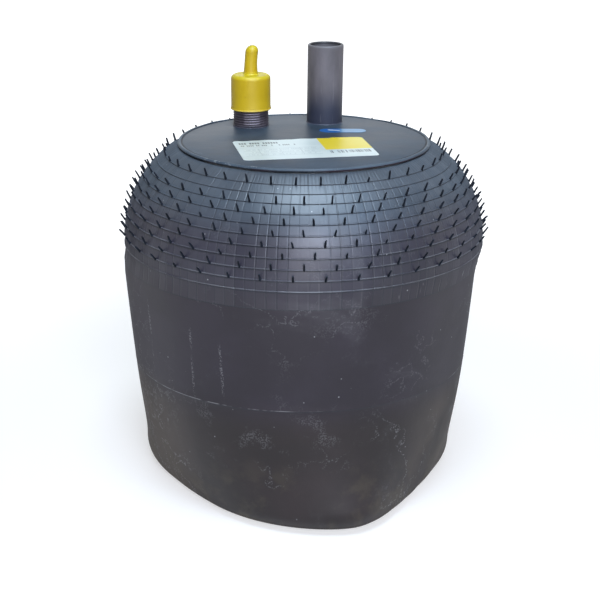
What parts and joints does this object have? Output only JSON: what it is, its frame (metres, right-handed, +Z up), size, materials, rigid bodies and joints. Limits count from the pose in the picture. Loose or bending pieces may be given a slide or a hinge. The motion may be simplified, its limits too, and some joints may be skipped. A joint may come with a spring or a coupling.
{
  "type": "air suspension spring",
  "caption": "Rolling-lobe air spring with a domed rubber bellows over a hidden steel piston, a crimped bead plate, a capped inlet and a guide tube.",
  "frame": {"origin": "centre of the piston's flat base, on the spring's axis", "axes": "+Z up the spring's axis from the piston base to the bead plate, -Y towards the side that faces the viewer, +X to the viewer's right"},
  "size_m": [0.3414, 0.341, 0.3953],
  "materials": {
    "piston_paint": "satin black coating",
    "zinc_steel": "zinc plated",
    "pressed_steel": "pressed sheet, oiled",
    "bead_wire": "brass-coated steel bead wire",
    "bumper_rubber": "moulded rubber",
    "bellows_rubber": "matt moulded rubber with chalky scuffs",
    "cord_rubber": "rubbered cord fabric",
    "liner_rubber": "smooth rubber liner",
    "plate_paint": "blue-grey satin coating with scuffs",
    "nipple_steel": "dark coated thread",
    "tube_paint": "matt grey coating",
    "spew_rubber": "thin moulded rubber spews",
    "label_film": "printed film",
    "strip_film": "glossy blue film",
    "cap_plastic": "soft yellow moulded cap"
  },
  "bodies": {
    "axle_side": {"piston": "piston_paint", "piston_base": "piston_paint", "base_bushes": "zinc_steel", "end_closure": "pressed_steel", "lower_bead_wire": "bead_wire", "bumper": "bumper_rubber", "bumper_washer": "zinc_steel", "piston_bolt": "zinc_steel", "piston_nut": "zinc_steel", "bellows_cover": "bellows_rubber", "outer_cord_ply": "cord_rubber", "inner_cord_ply": "cord_rubber", "inner_liner": "liner_rubber"},
    "chassis_side": {"upper_bead_wire": "bead_wire", "bead_plate": "plate_paint", "clamp_ring": "pressed_steel", "inlet_nipple": "nipple_steel", "guide_tube": "tube_paint", "vent_spews": "spew_rubber", "info_label": "label_film", "blue_strip": "strip_film"},
    "pull_cap": {"thread_cap": "cap_plastic"}
  },
  "joints": [
    {"name": "ride_travel", "type": "slide", "parent": "axle_side", "child": "chassis_side", "axis": [0, 0, 1], "range_m": [-0.075, 0.1], "stiffness_N_per_m": 20000, "springref_m": 0.001, "deforming": ["bellows_cover", "outer_cord_ply", "inner_cord_ply", "inner_liner"]},
    {"name": "cap_pull", "type": "slide", "parent": "chassis_side", "child": "pull_cap", "axis": [0, 0, 1], "range_m": [0, 0.07]}
  ]
}
